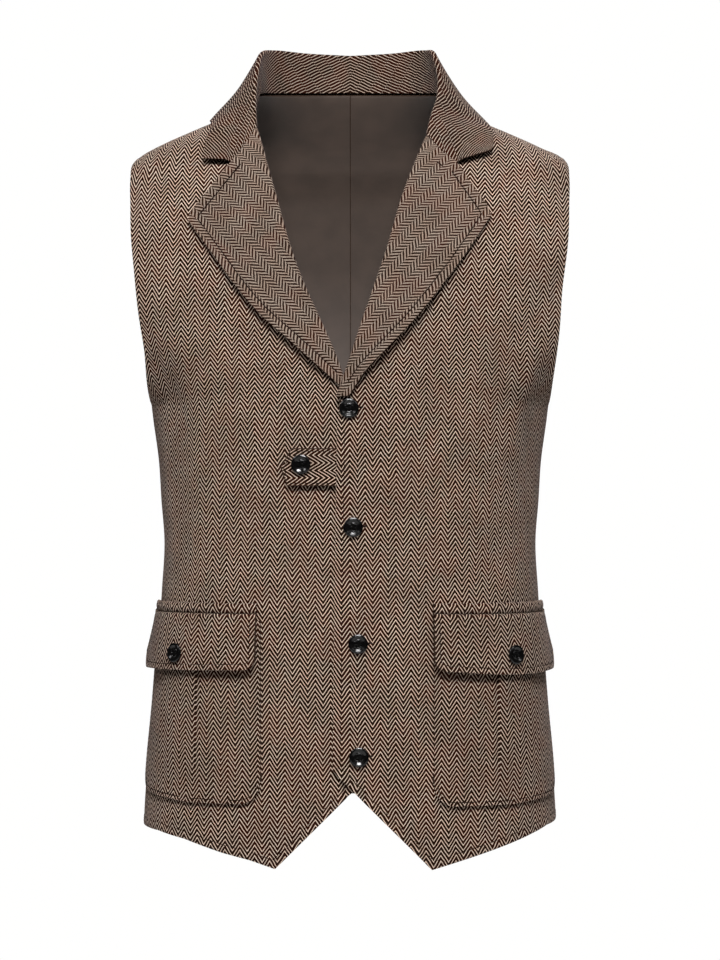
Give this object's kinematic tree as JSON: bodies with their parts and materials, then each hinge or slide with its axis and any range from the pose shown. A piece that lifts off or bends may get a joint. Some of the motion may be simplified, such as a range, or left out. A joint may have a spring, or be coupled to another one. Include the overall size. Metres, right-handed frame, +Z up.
{
  "type": "herringbone waistcoat",
  "caption": "Sleeveless herringbone waistcoat with notched lapels, a turned-down collar, a buttoned front, flapped patch pockets and a pointed hem.",
  "frame": {"origin": "in the middle between the wearer's shoulders, on the garment's middle plane, 42 mm below the shoulder seams' neck ends", "axes": "+Z up, -Y out of the buttoned front, +X to the wearer's left"},
  "size_m": [0.39, 0.2454, 0.7344],
  "materials": {
    "cloth": "brown and cream herringbone wool, matte",
    "lapel_cloth": "the same herringbone wool with its grain along the lapel's edge",
    "collar_cloth": "the same herringbone wool running round the neck",
    "trim_cloth": "the same herringbone wool on pockets, flaps and tab",
    "button": "polished black"
  },
  "bodies": {
    "root": {"front_right": "cloth", "front_left": "cloth", "back_right": "cloth", "back_left": "cloth", "lapel_right": "lapel_cloth", "lapel_left": "lapel_cloth", "collar": "collar_cloth", "pocket_right": "trim_cloth", "pocket_left": "trim_cloth", "flap_right": "trim_cloth", "flap_left": "trim_cloth", "chest_tab": "trim_cloth", "button_front_1": "button", "button_front_2": "button", "button_front_3": "button", "button_front_4": "button", "button_tab": "button", "button_flap_right": "button", "button_flap_left": "button"}
  },
  "joints": []
}
